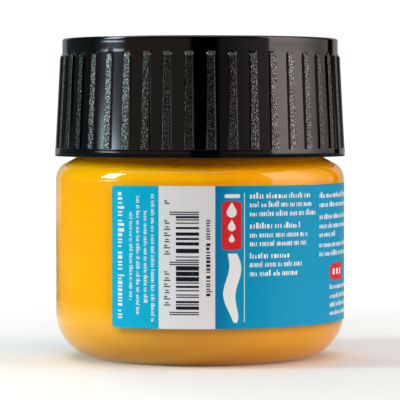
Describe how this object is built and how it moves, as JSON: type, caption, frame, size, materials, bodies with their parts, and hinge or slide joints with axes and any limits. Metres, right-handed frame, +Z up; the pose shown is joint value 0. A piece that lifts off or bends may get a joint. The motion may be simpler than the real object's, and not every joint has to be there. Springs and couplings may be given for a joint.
{
  "type": "paint jar",
  "caption": "Round screw-top jar of yellow paint with a ribbed black cap, a foam sealing liner and a wrap-around label.",
  "frame": {"origin": "centre of the standing ring, on the surface that the jar stands on", "axes": "+Z up along the jar's axis; -Y towards the side with the printed code panel, +X to its right"},
  "size_m": [0.0742, 0.074, 0.0812],
  "materials": {
    "clear_plastic": "gloss",
    "yellow_paint": "gloss",
    "label_film": "satin",
    "black_plastic": "gloss",
    "liner_foam": "matte"
  },
  "bodies": {
    "jar_body": {"jar": "clear_plastic", "paint": "yellow_paint", "label": "label_film"},
    "liner_body": {"cap_liner": "liner_foam"},
    "cap_body": {"cap": "black_plastic"}
  },
  "joints": [
    {"name": "cap_rise", "type": "slide", "parent": "jar_body", "child": "liner_body", "axis": [0, 0, 1], "range_m": [0, 0.02973]},
    {"name": "cap_turn", "type": "hinge", "parent": "liner_body", "child": "cap_body", "pos_m": [0, 0, 0.066], "axis": [0, 0, 1], "range_deg": [0, 2520]}
  ],
  "couplings": [
    {"joint": "cap_rise", "follows": "cap_turn", "m_per_rad": 0.00067376}
  ]
}
